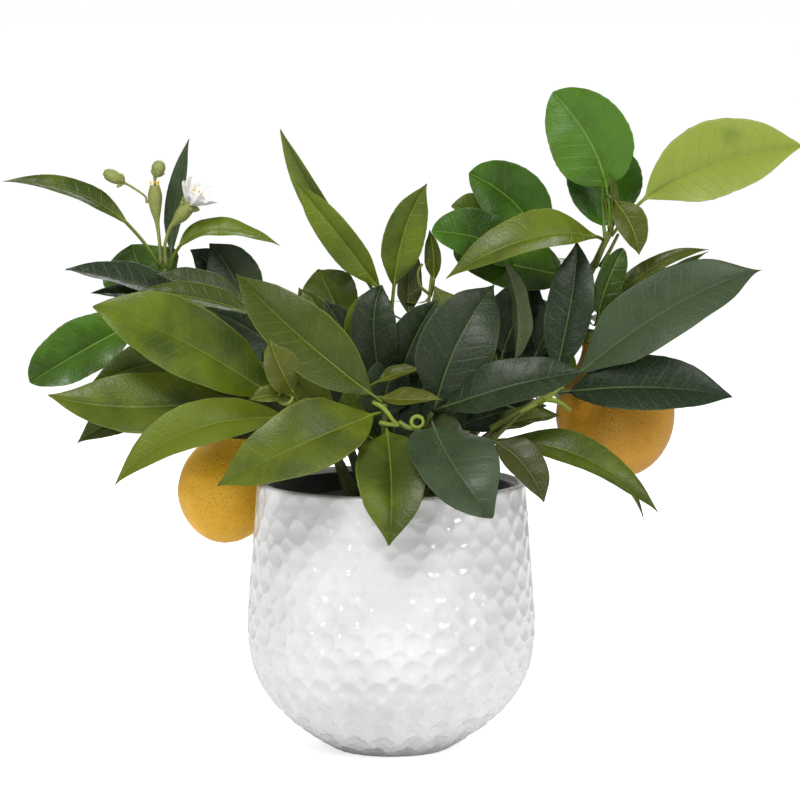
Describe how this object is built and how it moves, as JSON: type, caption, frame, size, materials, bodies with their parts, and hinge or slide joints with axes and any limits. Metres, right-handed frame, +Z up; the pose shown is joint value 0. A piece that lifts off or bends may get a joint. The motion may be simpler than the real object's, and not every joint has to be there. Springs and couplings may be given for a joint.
{
  "type": "potted lemon tree",
  "caption": "Low potted lemon plant: leafy sprigs with yellow fruits and a small white blossom, standing in a round white glazed pot with a dimpled wall.",
  "frame": {"origin": "centre of the pot's flat foot, on the surface that it stands on", "axes": "+Z up along the pot's axis; -Y is the front; +X is to the right seen from the front, along the plant's longest spread"},
  "size_m": [0.359, 0.1762, 0.2988],
  "materials": {
    "pot_glaze": "gloss",
    "liner_plastic": "matte",
    "soil": "matte",
    "stem": "matte",
    "leaf_olive": "satin",
    "leaf_dark": "satin",
    "leaf_bright": "satin",
    "leaf_pale": "matte",
    "lemon_peel": "satin",
    "bud": "matte",
    "petal": "matte"
  },
  "bodies": {
    "root": {"pot": "pot_glaze", "liner": "liner_plastic", "soil": "soil", "stem_left": "stem", "stem_left_back": "stem", "stem_blossom": "stem", "stem_front": "stem", "stem_front_dark": "stem", "stem_low_right": "stem", "stem_right": "stem", "stem_upper_right": "stem", "stem_mid_right": "stem", "stem_centre": "stem", "stem_fruit_right": "stem", "stem_back_left": "stem", "stem_back_right": "stem", "leaf_left_upper": "leaf_olive", "leaf_left_long": "leaf_olive", "leaf_left_low": "leaf_olive", "leaf_front_left": "leaf_olive", "leaf_front_up": "leaf_olive", "leaf_front_hanging": "leaf_olive", "leaf_front_broad": "leaf_dark", "leaf_dark_right": "leaf_dark", "leaf_dark_up": "leaf_dark", "leaf_centre_dark": "leaf_dark", "leaf_right_up": "leaf_dark", "leaf_right": "leaf_dark", "leaf_right_back": "leaf_dark", "leaf_low_right": "leaf_olive", "leaf_top_round": "leaf_bright", "leaf_top_behind": "leaf_bright", "leaf_top_right": "leaf_pale", "leaf_arching": "leaf_olive", "leaf_mid_up": "leaf_bright", "leaf_mid_left": "leaf_bright", "leaf_tall_left": "leaf_olive", "leaf_tall_back": "leaf_pale", "leaf_tall_right": "leaf_olive", "leaf_blossom_left": "leaf_olive", "leaf_blossom_up": "leaf_dark", "leaf_blossom_right": "leaf_olive", "leaf_far_left": "leaf_bright", "leaf_left_round": "leaf_bright", "leaf_left_dark": "leaf_dark", "leaf_centre_back": "leaf_olive", "leaf_fruit_right": "leaf_olive", "leaf_back_left": "leaf_olive", "leaf_back_right": "leaf_dark", "lemon_right": "lemon_peel", "lemon_left": "lemon_peel", "fruit_stalk_right": "stem", "fruit_stalk_left": "stem", "spent_blossom": "bud", "bud_left": "bud", "bud_top": "bud", "blossom_calyx": "bud", "blossom_petals": "petal"}
  },
  "joints": []
}
